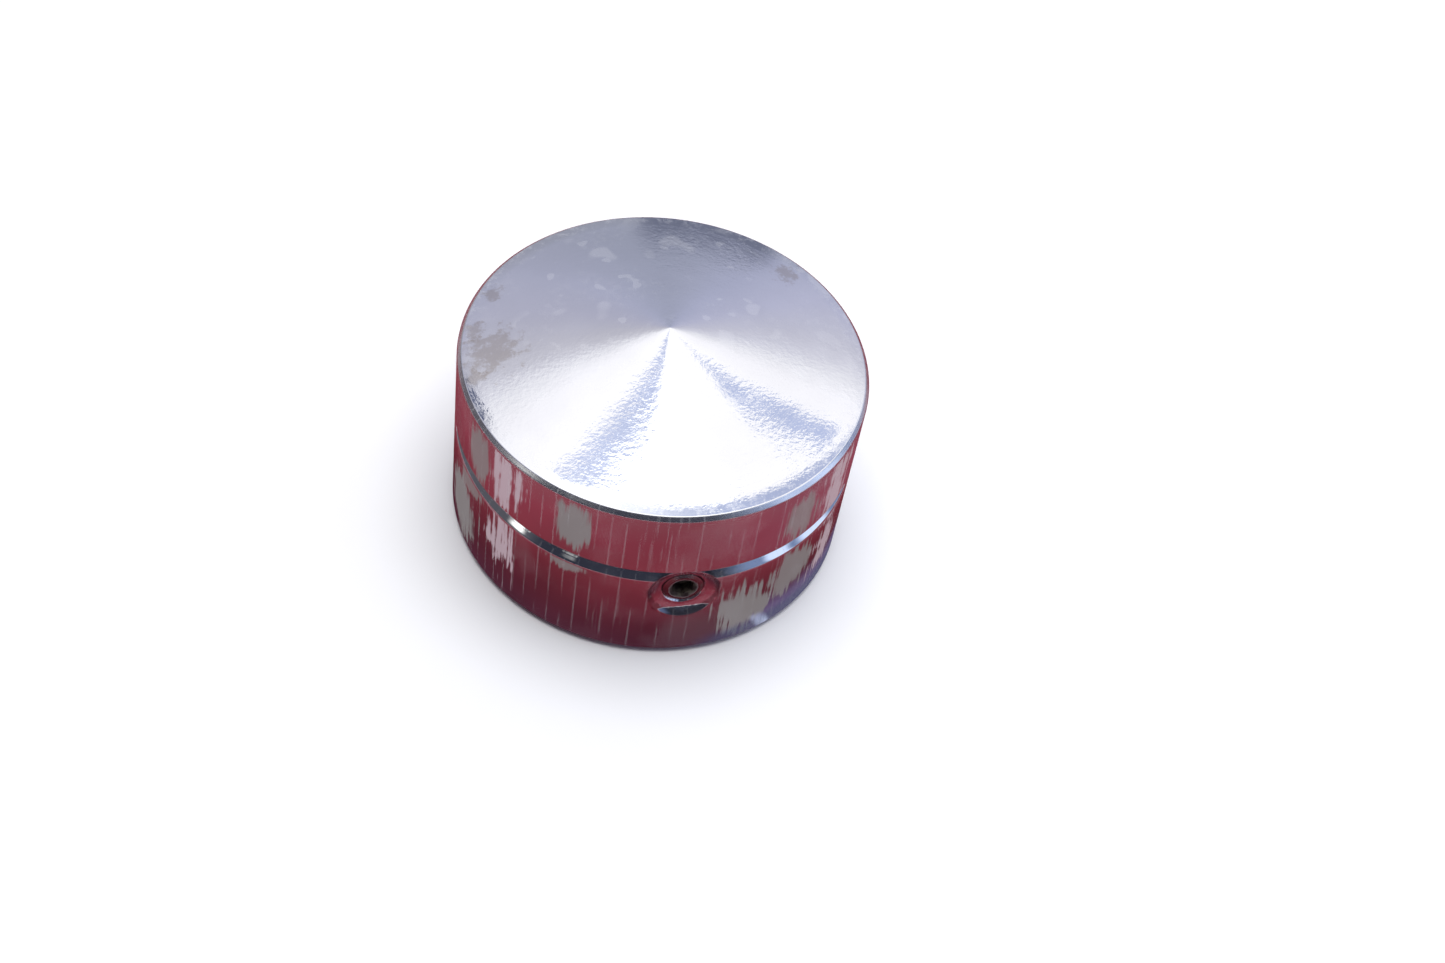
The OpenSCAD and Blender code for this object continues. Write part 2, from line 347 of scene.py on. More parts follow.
def cup_wall_r(angle, z):
    """Radius of the cup's outer wall, with the groove's lower flank and its rounded lip."""
    above = z - (GROOVE_Z - GROOVE_HALF)
    if abs(above) < LIP_SOFT:
        r = CASE_R - (above + LIP_SOFT) ** 2 / (4 * LIP_SOFT)
    else:
        r = CASE_R - max(0.0, above)
    across = CASE_R * math.sin(angle + math.pi / 2)
    if math.sin(angle) < 0 and abs(across) < DISH_R + RECESS_NEAR:
        r = min(r, CASE_R - dish_depth(math.hypot(across, z - LOCK_Z)))
    if 0 < angle < math.pi:
        r -= pocket_depth(angle, z)
    return r


def cup_angles():
    """Directions round the cup, close together at the recess, the pocket's ends and the eyelet."""
    recess_margin, slot_margin = 0.4, 0.3
    recess = -math.pi / 2
    recess_half = math.asin((DISH_R + recess_margin) / CASE_R)
    slot_end = (POCKET_HALF + slot_margin) / CASE_R
    past, eyelet_half = 0.01, 0.08  # radians
    spans = [
        (-math.pi, recess - recess_half, PLAIN),
        (recess - recess_half, recess + recess_half, FINE),
        (recess + recess_half, POCKET_FROM - slot_end, PLAIN),
        (POCKET_FROM - slot_end, POCKET_FROM + past, FINE),
        (POCKET_FROM + past, EYELET_AZ - eyelet_half, PLAIN),
        (EYELET_AZ - eyelet_half, EYELET_AZ + eyelet_half, FINE),
        (EYELET_AZ + eyelet_half, POCKET_TO - past, PLAIN),
        (POCKET_TO - past, POCKET_TO + slot_end, FINE),
        (POCKET_TO + slot_end, math.pi, PLAIN),
    ]
    return [angle for a, b, step in spans for angle in spaced(a, b, step / CASE_R)]


def cup_heights():
    """Heights of the cup's wall rows, close together at the pocket, the recess and the groove's lip."""
    edge = 0.08  # softening of the wall's lower corner
    out, into = 0.05, 0.3  # how far the rows round the pocket's edges reach
    lip_z = GROOVE_Z - GROOVE_HALF
    slot_lo, slot_hi = LEAF_Z - POCKET_HALF, LEAF_Z + POCKET_HALF
    dish_lo = LOCK_Z - DISH_R - 0.2
    spans = [
        (BASE_CHAMFER + edge, slot_lo - out, 0.5),
        (slot_lo - out, slot_lo + into, 0.06),
        (slot_lo + into, dish_lo, 0.25),
        (dish_lo, slot_hi - into, FINE),
        (slot_hi - into, slot_hi + out, 0.06),
        (slot_hi + out, lip_z - LIP_SOFT, FINE),
        (lip_z - LIP_SOFT, lip_z + LIP_SOFT, 0.03),
        (lip_z + LIP_SOFT, GROOVE_Z, FINE),
    ]
    return [z for a, b, step in spans for z in spaced(a, b, step)]


def cup_inside():
    """The rest of the cup's outline: seam face, bores, shoulder, floor, post's seat, relief and foot."""
    corners = [
        ((CASE_R - GROOVE_HALF, GROOVE_Z), 0.0),
        ((SPIGOT_BORE_R + LEAD_IN, GROOVE_Z), 0.08),
        ((SPIGOT_BORE_R, GROOVE_Z - LEAD_IN), 0.08),
        ((SPIGOT_BORE_R, SHOULDER_Z), 0.0),
        ((CUP_BORE_R, SHOULDER_Z), 0.1),
        ((CUP_BORE_R, FLOOR_Z), 0.3),
        ((POST_R, FLOOR_Z), 0.0),
        ((POST_R, POST_SEAT_Z), 0.0),
        ((POST_SEAT_R, POST_SEAT_Z), 0.0),
        ((POST_SEAT_R, BASE_RELIEF), 0.1),
        ((RELIEF_R, BASE_RELIEF), 0.1),
        ((RELIEF_R + RELIEF_FLARE, 0.0), 0.1),
        ((CASE_R - BASE_CHAMFER, 0.0), 0.3),
        ((CASE_R, BASE_CHAMFER), 0.0),
    ]
    return softened(corners, closed=False)


def make_cup():
    """The cup as one grid of rows and directions, fine around the dished recess and the leaf's pocket."""
    angles = cup_angles()
    rows = [(None, z) for z in cup_heights()] + cup_inside()
    verts = []
    for r, z in rows:
        for a in angles:
            radius = cup_wall_r(a, z) if r is None else r
            verts.append((radius * math.cos(a), radius * math.sin(a), z))
    return mesh_object("polished_cup", verts, grid_faces(len(rows), len(angles)))


def make_cap():
    """The cap as one turned outline: spigot, groove flank, wall, worn rim, cone and the spring's boss."""
    slope = (APEX_Z - RIM_Z - RIM_CHAMFER) / (CASE_R - RIM_CHAMFER)
    worn_z = APEX_Z - slope * (CASE_R - WORN_RIM)
    corners = [
        ((CAP_BORE_R, SPIGOT_Z), 0.1),
        ((SPIGOT_R - LEAD_IN, SPIGOT_Z), 0.05),
        ((SPIGOT_R, SPIGOT_Z + LEAD_IN), 0.05),
        ((SPIGOT_R, GROOVE_Z), 0.0),
        ((CASE_R - GROOVE_HALF, GROOVE_Z), 0.0),
        ((CASE_R, GROOVE_Z + GROOVE_HALF), 0.26),
        ((CASE_R, worn_z - WORN_RIM), 0.34),
        ((CASE_R - WORN_RIM, worn_z), 0.3),
        ((0.0, APEX_Z), 0.0),
        ((0.0, RIVET_HOLE_Z), 0.0),
        ((RIVET_HOLE_R, RIVET_HOLE_Z), 0.0),
        ((RIVET_HOLE_R, BOSS_FACE_Z), 0.0),
        ((BOSS_R, BOSS_FACE_Z), 0.15),
        ((BOSS_R, BOSS_ROOT_Z), 0.2),
        ((CAP_BORE_R, CEILING_Z), 0.4),
    ]
    return lathe("polished_cap", softened(corners), segments=288)


def make_winding():
    """The wound thread: a helix of touching turns, each a little proud or slack, over the full width."""
    around, rows_per_turn = 150, 7
    below_top, ridge_h, slack, crown_h = 0.42, 0.14, 0.1, 0.25
    by_turn, by_bearing = 0.83, 0.9  # how fast the slack changes from turn to turn and round a turn
    bottom, top = THREAD_LO.z, THREAD_HI.z
    rows = round((top - bottom) / THREAD_PITCH * rows_per_turn)
    bearings = [2 * math.pi * k / around for k in range(around)]
    verts = []
    for j in range(rows + 1):
        z = bottom + (top - bottom) * j / rows
        crown = crown_h * math.sin(math.pi * (z - bottom) / (top - bottom))
        for k, a in enumerate(bearings):
            turns = (z - bottom) / THREAD_PITCH - k / around
            ridge = abs(math.sin(math.pi * turns))
            wrap = math.floor(turns) * by_turn
            loose = noise.noise(Vector((wrap, math.cos(a) * by_bearing, math.sin(a) * by_bearing)))
            r = THREAD_HI.x - below_top + ridge_h * ridge + slack * loose + crown
            verts.append((r * math.cos(a), r * math.sin(a), z))
    for z in (top, bottom):
        verts += [(HUB_HI.x * math.cos(a), HUB_HI.x * math.sin(a), z) for a in bearings]
    return mesh_object("wound_thread", verts, grid_faces(rows + 3, around))


# ================================================================ materials
class Nodes:
    """Short calls for building a node tree."""

    def __init__(self, tree):
        self.tree = tree
        tree.nodes.clear()

    def add(self, kind, **values):
        node = self.tree.nodes.new(kind)
        for key, value in values.items():
            setattr(node, key, value)
        return node

    def put(self, socket, value):
        if hasattr(value, "is_output"):
            self.tree.links.new(value, socket)
        elif value is not None:
            socket.default_value = value

    def math(self, operation, a, b=None, clamp=False):
        node = self.add("ShaderNodeMath", operation=operation, use_clamp=clamp)
        for socket, value in zip(node.inputs, (a, b)):
            self.put(socket, value)
        return node.outputs[0]

    def times(self, first, *others):
        for other in others:
            first = self.math("MULTIPLY", first, other)
        return first

    def plus(self, a, b):
        return self.math("ADD", a, b)

    def minus(self, a, b):
        return self.math("SUBTRACT", a, b)

    def larger(self, a, b):
        return self.math("MAXIMUM", a, b)

    def hypot(self, a, b):
        return self.math("SQRT", self.plus(self.times(a, a), self.times(b, b)))

    def vector(self, operation, a, b=None):
        node = self.add("ShaderNodeVectorMath", operation=operation)
        for socket, value in zip(node.inputs, (a, b)):
            self.put(socket, value)
        return node.outputs["Vector"]

    def scaled(self, vector, factor):
        node = self.add("ShaderNodeVectorMath", operation="SCALE")
        self.put(node.inputs["Vector"], vector)
        node.inputs["Scale"].default_value = factor
        return node.outputs["Vector"]

    def split(self, vector):
        node = self.add("ShaderNodeSeparateXYZ")
        self.put(node.inputs[0], vector)
        return node.outputs

    def join(self, x, y=0.0, z=0.0):
        node = self.add("ShaderNodeCombineXYZ")
        for socket, value in zip(node.inputs, (x, y, z)):
            self.put(socket, value)
        return node.outputs[0]

    def noise(self, vector, scale, detail=3.0, rough=0.55):
        node = self.add("ShaderNodeTexNoise")
        self.put(node.inputs["Vector"], vector)
        node.inputs["Scale"].default_value = scale
        node.inputs["Detail"].default_value = detail
        node.inputs["Roughness"].default_value = rough
        return node.outputs["Fac"]

    def range(self, value, low, high, to_low=0.0, to_high=1.0):
        """A soft step from to_low to to_high while value goes from low to high."""
        node = self.add("ShaderNodeMapRange", interpolation_type="SMOOTHSTEP")
        for socket, v in zip(node.inputs, (value, low, high, to_low, to_high)):
            self.put(socket, v)
        return node.outputs[0]

    def ramp(self, value, stops):
        node = self.add("ShaderNodeValToRGB")
        elements = node.color_ramp.elements
        while len(elements) < len(stops):
            elements.new(0.5)
        for element, (place, colour) in zip(elements, stops):
            element.position = place
            element.color = (*colour, 1.0)
        self.put(node.inputs[0], value)
        return node.outputs[0]

    def mix(self, factor, a, b, blend="MIX"):
        node = self.add("ShaderNodeMix", data_type="RGBA", blend_type=blend)
        self.put(node.inputs["Factor"], factor)
        self.put(node.inputs[6], (*a, 1.0) if isinstance(a, tuple) else a)
        self.put(node.inputs[7], (*b, 1.0) if isinstance(b, tuple) else b)
        return node.outputs[2]

    def bump(self, height, strength, distance):
        node = self.add("ShaderNodeBump")
        node.inputs["Strength"].default_value = strength
        node.inputs["Distance"].default_value = distance
        self.put(node.inputs["Height"], height)
        return node.outputs[0]


def place_in_mm(n):
    return n.scaled(n.add("ShaderNodeTexCoord").outputs["Object"], 1 / MM)


def new_material(name):
    """(material, its nodes, its principled shader, the place on the object in mm)"""
    material = bpy.data.materials.new(name)
    material.use_nodes = True
    n = Nodes(material.node_tree)
    shader = n.add("ShaderNodeBsdfPrincipled")
    out = n.add("ShaderNodeOutputMaterial")
    n.put(out.inputs["Surface"], shader.outputs[0])
    return material, n, shader, place_in_mm(n)


def round_the_axis(n, place):
    """(distance from the axis, height, place folded so that it is the same all the way round)"""
    x, y, z = n.split(place)
    r = n.hypot(x, y)
    return r, z, n.join(r, z, 0.0)


def band(n, value, middle, half, soft):
    """1 where value is within half of middle, falling to 0 over soft."""
    away = n.math("ABSOLUTE", n.minus(value, middle))
    return n.range(away, half, half + soft, 1.0, 0.0)


def blob_at(n, place, bearing, reach, wide, ragged):
    """1 near a place given by bearing (degrees) and distance from the axis (mm), with a ragged edge."""
    angle = math.radians(bearing)
    x, y, _ = n.split(place)
    dx = n.minus(x, reach * math.cos(angle))
    dy = n.minus(y, reach * math.sin(angle))
    away = n.plus(n.hypot(dx, dy), n.times(ragged, wide * 4.0))
    return n.range(away, wide * 0.5, wide * 1.3, 1.0, 0.0)


def wall_noise(n, around, z, around_scale, z_scale, seed, detail=1.0, rough=0.55):
    """Noise on the wall, with different scales round it and up it, so that it is drawn out."""
    place = n.join(n.times(around, around_scale), n.times(z, z_scale), seed)
    return n.noise(place, 1.0, detail, rough)


def weave_reflection_lines(n, around, z):
    """Fine upright lines round the wall, some long and evenly spaced, some in close bunches: a painted
    reflection of the cloth's weave.
    """
    comb = n.math("ABSOLUTE", n.math("SINE", n.times(around, 45.0)))
    wander = wall_noise(n, around, z, 3.2, 0.05, 2.0)
    ends = wall_noise(n, around, z, 26.0, 0.16, 5.0)
    bunch = wall_noise(n, around, z, 2.6, 0.04, 9.0)
    close = wall_noise(n, around, z, 52.0, 0.05, 7.0, 3.0, 0.7)
    thin = n.times(n.range(comb, 0.30, 0.02), n.range(wander, 0.37, 0.48))
    fine = n.times(n.range(close, 0.52, 0.66), n.range(bunch, 0.52, 0.62))
    return n.times(n.larger(thin, fine), n.range(ends, 0.36, 0.52))


def brighter(colour, factor):
    """The colour times a factor, at most white."""
    return tuple(min(1.0, factor * c) for c in colour)


def dried_spots(n, place):
    """Round marks that dried drops leave, in loose groups."""
    bend = n.scaled(n.join(n.noise(place, 0.35, 1.0), n.noise(place, 0.5, 1.0)), 0.9)
    large = n.range(n.noise(n.vector("ADD", place, bend), 0.24, 1.0, 0.4), 0.60, 0.65)
    small = n.range(n.noise(place, 0.62, 0.6, 0.4), 0.70, 0.74)
    groups = n.range(n.noise(place, 0.10, 1.0), 0.36, 0.50)
    return n.times(n.larger(large, small), groups)


def dusty_haze(n, place, r):
    """Dust and fingermarks: fine mottling in clouds, and all along the face's edge."""
    mottle = n.range(n.noise(place, 1.3, 5.0, 0.76), 0.47, 0.62)
    cloudy = n.range(n.noise(place, 0.22, 3.0, 0.6), 0.42, 0.62)
    edge = n.range(r, CASE_R - 2.4, CASE_R - 0.9)
    return n.times(mottle, n.larger(n.times(cloudy, 0.35), edge))


def from_lock_axis(n, x, z):
    """Distance from the lock screw's axis."""
    return n.hypot(x, n.minus(z, LOCK_Z))


def plating_relief(n, place, rings, r, y, on_face):
    """Polishing rings, an orange peel that is stronger in front, and the face's fall towards its edge."""
    edge_w, edge_fall = 1.95, 19.0
    height = n.plus(n.times(rings, 0.3), n.noise(place, 0.9, 2.0))
    patchy = n.range(n.noise(place, 0.3, 1.0), 0.3, 0.6, 6.0, 12.0)
    in_front = n.range(y, 5.0, -3.0, 0.22, 1.0)
    peel = n.times(n.noise(place, 2.2, 2.0, 0.6), n.times(on_face, n.times(patchy, in_front)))
    past = n.larger(n.minus(r, CASE_R - edge_w), 0.0)
    fall = n.times(n.math("POWER", past, 2.0), edge_fall)
    return n.plus(height, n.minus(peel, fall))


def polished(name, tint, low, high, stains=1.0):
    """Polished plating on turned steel, with the thin matt films that dried water and dust leave, and fine
    matt lines up the wall that are a painted reflection of the cloth's weave.
    """
    material, n, shader, place = new_material(name)
    r, z, folded = round_the_axis(n, place)
    x, y, _ = n.split(place)
    on_wall = n.range(r, CASE_R - WORN_RIM - 0.1, CASE_R - WORN_RIM)
    on_face = n.minus(1.0, on_wall)
    on_rim = n.times(n.range(z, RIM_Z, RIM_Z + 0.1), on_wall)
    rings = n.noise(folded, 9.0, 2.0, 0.6)
    waves = n.noise(place, 0.16, 2.0, 0.5)
    haze = n.times(dusty_haze(n, place, r), on_face)

    film = n.times(dried_spots(n, place), on_face, SPOT_FILM * stains)
    film = n.larger(film, n.times(haze, HAZE_FILM * stains))
    # painted reflection: fine matt lines up the wall stand in for the cloth's weave mirrored in it
    weave_lines = weave_reflection_lines(n, n.math("ARCTAN2", y, x), z)
    film = n.larger(film, n.times(weave_lines, on_wall, WEAVE_LINE_FILM))
    film = n.larger(film, n.times(n.range(waves, 0.45, 0.65), n.times(on_wall, WAVE_FILM)))
    n.put(shader.inputs["Metallic"], n.minus(1.0, film))

    colour = n.mix(n.range(waves, 0.3, 0.7), tint, brighter(tint, 1.05))
    ragged = n.minus(n.noise(place, 0.9, 4.0, 0.7), 0.5)
    for bearing, reach, wide in TARNISH:
        spot = n.times(blob_at(n, place, bearing, reach, wide, ragged), on_face)
        colour = n.mix(n.times(spot, 0.5), colour, TARNISH_BROWN)
    # painted shade: the dish's ragged edge, on the front of the wall, is darkened in the colour
    at_recess_edge = band(n, n.plus(from_lock_axis(n, x, z), ragged), DISH_R - 0.1, 0.1, 0.25)
    shaded_edge = n.times(at_recess_edge, n.range(y, -18.0, -18.6))
    colour = n.mix(n.times(shaded_edge, 0.6), colour, RECESS_EDGE_SHADE)
    n.put(shader.inputs["Base Color"], colour)

    rough = n.range(rings, 0.35, 0.7, low, high)
    rough = n.plus(rough, n.times(haze, 0.10))
    rough = n.plus(rough, n.times(on_rim, 0.22))
    n.put(shader.inputs["Roughness"], rough)
    relief = plating_relief(n, place, rings, r, y, on_face)
    n.put(shader.inputs["Normal"], n.bump(relief, 0.05, BUMP))
    return material


def worked_metal(name, tint, low, high, grain="turned"):
    """A plain machined metal: tool marks round the axis or along a strip, darker where grime gathers."""
    material, n, shader, place = new_material(name)
    if grain == "turned":
        _, _, folded = round_the_axis(n, place)
        marks = n.noise(folded, 7.0, 4.0, 0.7)
    else:
        marks = n.noise(n.vector("MULTIPLY", place, n.join(0.5, 0.5, 9.0)), 1.4, 4.0, 0.7)
    grime = n.noise(place, 0.55, 4.0, 0.6)
    colour = n.mix(n.range(marks, 0.35, 0.65), tint, brighter(tint, 1.12))
    colour = n.mix(n.times(n.range(grime, 0.5, 0.75), 0.35), colour, brighter(tint, 0.45))
    n.put(shader.inputs["Base Color"], colour)
    shader.inputs["Metallic"].default_value = 1.0
    n.put(shader.inputs["Roughness"], n.range(n.plus(marks, grime), 0.7, 1.3, low, high))
    n.put(shader.inputs["Normal"], n.bump(marks, 0.25, BUMP))
    return material


def socket_screw(name):
    """Blackened steel set screw: a bright worn ring round a socket that is dull inside, with painted shade
    that turns the socket nearly black.
    """
    material, n, shader, place = new_material(name)
    x, _, z = n.split(place)
    rho = from_lock_axis(n, x, z)
    grime = n.noise(place, 1.1, 4.0, 0.65)
    # painted shade: within the socket the colour turns nearly black and stops being metal; the grime noise
    # roughens its edge
    inner = n.range(n.plus(rho, n.times(grime, 0.5)), 1.75, 1.45)
    marks = n.noise(n.join(n.times(rho, 6.0), 0.0, 0.0), 1.0, 3.0, 0.7)
    face = n.mix(n.range(marks, 0.35, 0.65), *SCREW_FACE)
    socket_shade = n.mix(n.range(grime, 0.4, 0.65), *SCREW_SOCKET_SHADE)
    n.put(shader.inputs["Base Color"], n.mix(inner, face, socket_shade))
    n.put(shader.inputs["Metallic"], n.minus(1.0, inner))
    shader.inputs["Specular IOR Level"].default_value = 0.2
    rough = n.plus(n.range(grime, 0.3, 0.7, 0.16, 0.28), n.times(inner, 0.35))
    n.put(shader.inputs["Roughness"], rough)
    n.put(shader.inputs["Normal"], n.bump(n.plus(marks, grime), 0.25, BUMP))
    return material


def wound_thread(name):
    """Bonded thread: fine plies twisted across each turn, with painted shade in their valleys, a slight
    sheen, turns that vary in shade.
    """
    material, n, shader, place = new_material(name)
    x, y, z = n.split(place)
    around = n.math("ARCTAN2", y, x)
    turn = n.minus(n.math("DIVIDE", z, THREAD_PITCH), n.math("DIVIDE", around, 2 * math.pi))
    plies = n.math("SINE", n.plus(n.times(around, 170.0), n.times(z, 26.0)))
    shade = n.noise(n.join(n.math("FLOOR", turn), n.times(around, 0.6), 0.0), 1.7, 2.0)
    colour = n.mix(n.range(shade, 0.3, 0.7), *THREAD_SHADES)
    # painted shade: the colour darkens in the valleys between the plies
    colour = n.mix(n.range(plies, -0.2, -1.0, 0.0, 0.45), colour, THREAD_VALLEY_SHADE)
    n.put(shader.inputs["Base Color"], colour)
    n.put(shader.inputs["Roughness"], n.range(plies, -1.0, 1.0, 0.72, 0.5))
    shader.inputs["Sheen Weight"].default_value = 0.25
    n.put(shader.inputs["Normal"], n.bump(plies, 0.5, 0.03 * MM))
    return material


def ceramic(name):
    """Hard white ceramic with a faint speckle and a glossy, slightly uneven face."""
    material, n, shader, place = new_material(name)
    speck = n.noise(place, 6.0, 4.0, 0.7)
    colour = n.mix(n.range(speck, 0.55, 0.75), *CERAMIC_SHADES)
    n.put(shader.inputs["Base Color"], colour)
    n.put(shader.inputs["Roughness"], n.range(speck, 0.3, 0.8, 0.12, 0.28))
    n.put(shader.inputs["Normal"], n.bump(speck, 0.1, BUMP))
    return material


def paint(obj, material):
    if obj.material_slots:
        for s in obj.material_slots:
            s.material = material
    else:
        obj.data.materials.append(material)


# ================================================================ the object
cap = make_cap()
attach(cap, "cap")
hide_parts("case_cap")
paint(cap, polished("cap_plating", CAP_PLATING, 0.03, 0.08))

cup = make_cup()
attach(cup, "cup")
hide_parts("case_cup")
paint(cup, polished("cup_plating", CUP_PLATING, 0.03, 0.07, stains=0.4))

winding = make_winding()
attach(winding, "bobbin")
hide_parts("bobbin_thread")
paint(winding, wound_thread("thread"))

# node: (colour, lowest and highest roughness, direction of the tool marks)
FINISHES = {
    "lock_screw_tip": (BRASS, 0.22, 0.4, "turned"),
    "centre_post": (STEEL, 0.16, 0.32, "turned"),
    "stud_sleeve": (BRONZE, 0.3, 0.5, "turned"),
    "thrust_washer": (DULL, 0.2, 0.38, "turned"),
    "bobbin_bush": (BRONZE, 0.2, 0.4, "turned"),
    "bobbin_hub": (BRIGHT, 0.24, 0.42, "turned"),
    "bobbin_flange_lower": (BRIGHT, 0.22, 0.4, "turned"),
    "bobbin_flange_upper": (BRIGHT, 0.22, 0.4, "turned"),
    "anti_spin_spring": (DULL, 0.2, 0.36, "strip"),
    "spring_rivet": (STEEL, 0.2, 0.36, "turned"),
    "tension_leaf": (STEEL, 0.12, 0.26, "strip"),
    "leaf_screw": (DULL, 0.18, 0.34, "strip"),
    "tension_washer": (BRASS, 0.25, 0.42, "strip"),
    "tension_screw": (DULL, 0.18, 0.34, "strip"),
    "register_dowel_left": (DULL, 0.18, 0.34, "turned"),
    "register_dowel_right": (DULL, 0.18, 0.34, "turned"),
}
for node, (tint, low, high, grain) in FINISHES.items():
    paint(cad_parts[node], worked_metal(node + "_metal", tint, low, high, grain))
paint(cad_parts["lock_screw"], socket_screw("lock_screw_metal"))
paint(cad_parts["thread_eyelet"], ceramic("eyelet_ceramic"))


# ================================================================ studio
def studio_place(n, vector):
    """The vector turned so that +Y points away from the photograph's camera and +X to its right."""
    node = n.add("ShaderNodeVectorRotate", rotation_type="Z_AXIS")
    n.put(node.inputs["Vector"], vector)
    node.inputs["Angle"].default_value = -VIEW_AZ
    return node.outputs[0]


def block(n, u, u_band, v, v_band):
    """Where u and v both lie in their (middle, half, soft) bands."""
    return n.times(band(n, u, *u_band), band(n, v, *v_band))


def ceiling(n, x, y, z, up, side):
    """What the cone mirrors: a glow by height, a card behind, a window overhead and bars across it."""
    lift = n.plus(up, n.times(side, 0.22))
    sky = n.ramp(n.math("DIVIDE", lift, SKY_SPAN, clamp=True), SKY)
    left_dusk = n.times(n.range(side, -4.0, -24.0, 0.0, 0.22), n.range(up, 52.0, 46.0))
    sky = n.mix(left_dusk, sky, LEFT_DUSK)
    bowed = n.minus(up, n.times(n.times(side, side), 0.0245))
    back_card = n.times(band(n, side, *BACK_CARD_SIDE), n.range(bowed, 19.6, 18.9))
    sky = n.mix(n.times(back_card, 0.9), sky, BACK_CARD)

    over_x = n.math("DIVIDE", x, z)  # the place on a flat ceiling of height 1
    over_y = n.math("DIVIDE", y, z)
    window = n.times(n.range(up, 68.0, 70.0), n.range(over_y, 0.34, 0.33))
    sky = n.mix(window, sky, WINDOW)
    left_slant = n.minus(over_y, n.times(over_x, 0.2))
    left_bar = block(n, left_slant, LEFT_BAR_Y, over_x, LEFT_BAR_X)
    right_slant = n.minus(over_y, over_x)
    right_bar = block(n, right_slant, RIGHT_BAR_Y, over_x, RIGHT_BAR_X)
    bars = n.times(n.larger(left_bar, right_bar), n.range(up, 38.0, 42.0))
    sky = n.mix(n.times(bars, 0.8), sky, BAR_BLUE)

    arched = n.minus(over_y, n.times(n.times(over_x, over_x), 1.4))
    gap = n.times(band(n, arched, *GAP_Y), n.range(over_x, -0.12, 0.22, 0.35, 0.9))
    gap = n.times(gap, n.minus(1.0, n.range(over_x, -0.14, -0.20)))
    sky = n.mix(gap, sky, GAP_BLUE)
    far_left = block(n, over_x, FAR_LEFT_X, arched, FAR_LEFT_Y)
    return n.mix(far_left, sky, FAR_LEFT)


def room(n, sky, up, side):
    """What the rim and the groove mirror: the dim camera side, cards, panes, a lamp and a slit."""
    front = n.range(n.math("ABSOLUTE", side), 95.0, 130.0)
    low = n.range(up, 52.0, 68.0, 1.0, 0.0)
    lit = n.mix(n.times(front, low), sky, CAMERA_SIDE)
    right = n.times(band(n, side, *RIGHT_CARD_SIDE), n.range(up, 38.0, 50.0, 1.0, 0.0))
    lit = n.mix(right, lit, RIGHT_CARD)
    panes = n.larger(band(n, side, *NEAR_PANE_SIDE), band(n, side, *FAR_PANE_SIDE))
    lit = n.mix(n.times(panes, right, 0.9), lit, PANES)
    left = n.times(band(n, side, *LEFT_CARD_SIDE), n.range(up, 36.0, 47.0, 1.0, 0.0))
    lit = n.mix(left, lit, LEFT_CARD)
    lamp = block(n, side, LAMP_SIDE, up, LAMP_UP)
    slit = block(n, side, SLIT_SIDE, up, SLIT_UP)
    return n.mix(n.larger(lamp, n.times(slit, 0.35)), lit, LAMP)


def make_world():
    """A soft studio: bright above and behind, blue-grey low down, dim where the camera stands."""
    world = bpy.data.worlds.new("studio")
    world.use_nodes = True
    bpy.context.scene.world = world
    n = Nodes(world.node_tree)
    way = n.add("ShaderNodeTexCoord").outputs["Generated"]
    x, y, z = n.split(studio_place(n, way))
    up = n.times(n.math("ARCSINE", z), 180 / math.pi)
    side = n.times(n.math("ARCTAN2", x, y), 180 / math.pi)
    lit = room(n, ceiling(n, x, y, z, up, side), up, side)
    seen = n.add("ShaderNodeLightPath").outputs["Is Camera Ray"]
    background = n.add("ShaderNodeBackground")
    n.put(background.inputs["Color"], n.mix(seen, lit, BACKDROP))
    background.inputs["Strength"].default_value = 1.0
    out = n.add("ShaderNodeOutputWorld")
    n.put(out.inputs["Surface"], background.outputs[0])


def make_fill_light():
    """A broad lamp overhead that lifts the floor and softens the shadow. The metal doesn't mirror it."""
    data = bpy.data.lights.new("fill", "AREA")
    data.shape = "DISK"
    data.size = 0.5
    data.energy = 2.4
    lamp = bpy.data.objects.new("fill", data)
    lamp.location = (0.0, 0.0, 0.6)
    lamp.visible_glossy = False
    lamp.visible_camera = False
    bpy.context.scene.collection.objects.link(lamp)


def make_floor():
    """A plain pale matt floor, far larger than the view."""
    far = 4000.0
    corners = [(-far, -far, 0), (far, -far, 0), (far, far, 0), (-far, far, 0)]
    floor = mesh_object("floor", corners, [(0, 1, 2, 3)])
    material, n, shader, place = new_material("floor_paint")
    grain = n.noise(place, 0.05, 3.0)
    n.put(shader.inputs["Base Color"], n.mix(grain, *FLOOR_SHADES))
    shader.inputs["Roughness"].default_value = 0.9
    shader.inputs["Specular IOR Level"].default_value = 0.1
    paint(floor, material)


def mirrored_place(angle, height):
    """Where on the floor the wall, at an angle and height, mirrors the camera's view to."""
    outward = Vector((math.cos(angle), math.sin(angle), 0))
    spot = outward * CASE_R + Vector((0, 0, height))
    ray = (spot - camera_place()).normalized().reflect(outward)
    return spot + ray * (-height / ray.z)


def glowing(name, colour_of):
    """An emissive material whose colour comes from colour_of(nodes)."""
    material = bpy.data.materials.new(name)
    material.use_nodes = True
    n = Nodes(material.node_tree)
    glow = n.add("ShaderNodeEmission")
    n.put(glow.inputs["Color"], colour_of(n))
    glow.inputs["Strength"].default_value = 1.0
    out = n.add("ShaderNodeOutputMaterial")
    n.put(out.inputs["Surface"], glow.outputs[0])
    material.cycles.emission_sampling = "NONE"
    return material


def only_in_reflections(obj):
    obj.visible_camera = False
    obj.visible_diffuse = False
    obj.visible_shadow = False
    obj.visible_transmission = False
    obj.visible_volume_scatter = False


